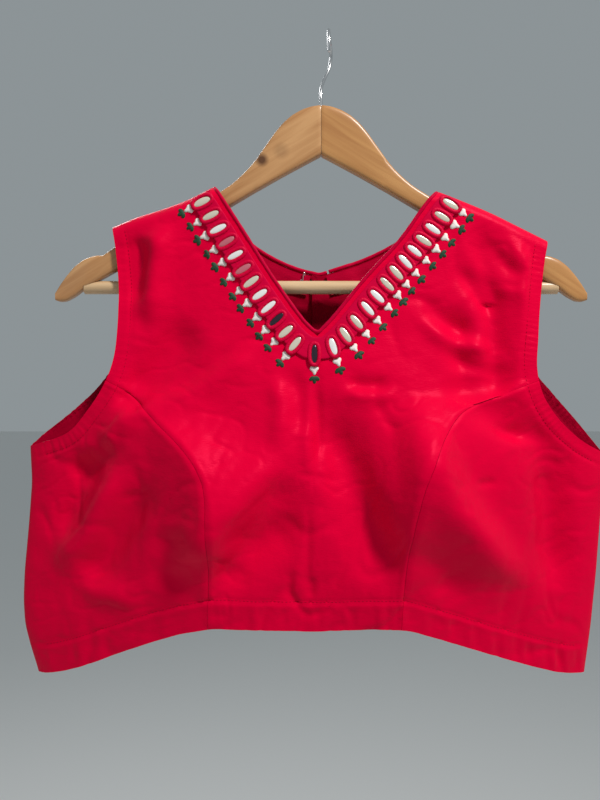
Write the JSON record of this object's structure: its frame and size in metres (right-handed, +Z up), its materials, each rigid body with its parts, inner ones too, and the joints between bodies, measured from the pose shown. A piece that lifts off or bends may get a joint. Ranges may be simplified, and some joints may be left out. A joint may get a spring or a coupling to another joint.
{
  "type": "sleeveless choli blouse on a wooden hanger",
  "caption": "Crimson satin choli blouse with a piped V neck and mirror-work border, hanging open and hollow on a flat wooden hanger with a wire hook",
  "frame": {"origin": "inside top of the hanger's hook, where a rail carries it", "axes": "+Z up, +X to the viewer's right seen from the front, the front of the blouse faces -Y"},
  "size_m": [0.482, 0.0893, 0.5332],
  "materials": {
    "satin": "lined crimson silk satin, soft sheen",
    "piping": "rolled satin piping",
    "facing": "inside of the crimson cloth, stitched facing",
    "embroidery_white": "white embroidery thread",
    "embroidery_green": "dark green embroidery thread",
    "mirror": "small oval mirrors in worked frames",
    "wood": "varnished pale wood with a knot",
    "bar_wood": "pale turned wood, satin varnish",
    "steel": "bright steel wire"
  },
  "bodies": {
    "root": {"front_centre": "satin", "front_side_left": "satin", "front_side_right": "satin", "back_left": "satin", "back_right": "satin", "neck_piping": "piping", "neck_border": "satin", "back_neck_facing_left": "facing", "back_neck_facing_right": "facing", "back_hook": "steel", "hanger_arm_left": "wood", "hanger_arm_right": "wood", "hanger_bar": "bar_wood", "hanger_hook": "steel"}
  },
  "joints": []
}
